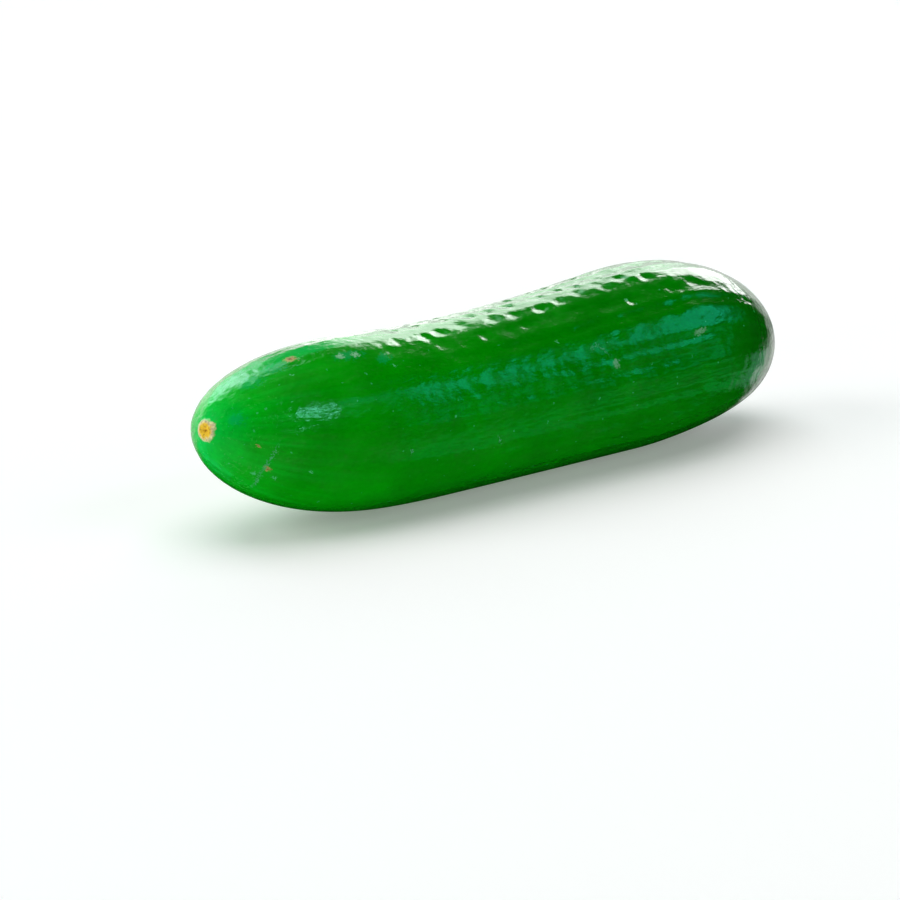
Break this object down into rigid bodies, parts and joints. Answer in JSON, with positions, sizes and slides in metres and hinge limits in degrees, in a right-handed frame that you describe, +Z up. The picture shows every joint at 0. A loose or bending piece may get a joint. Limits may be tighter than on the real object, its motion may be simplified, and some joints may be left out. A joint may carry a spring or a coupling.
{
  "type": "cucumber",
  "caption": "Whole mini cucumber lying on its belly: smooth blunt blossom end with a corky scar, rows of shallow dimples and faint ribs towards the stem end.",
  "frame": {"origin": "middle of the part's box on the surface that it lies on, which is inside the flat spot under its belly", "axes": "+X along the fruit from the blossom end to the stem end, +Z up, +Y to the left when looking along +X"},
  "size_m": [0.151, 0.0372, 0.0369],
  "materials": {
    "skin": "waxy green skin"
  },
  "bodies": {
    "root": {"cucumber": "skin"}
  },
  "joints": []
}
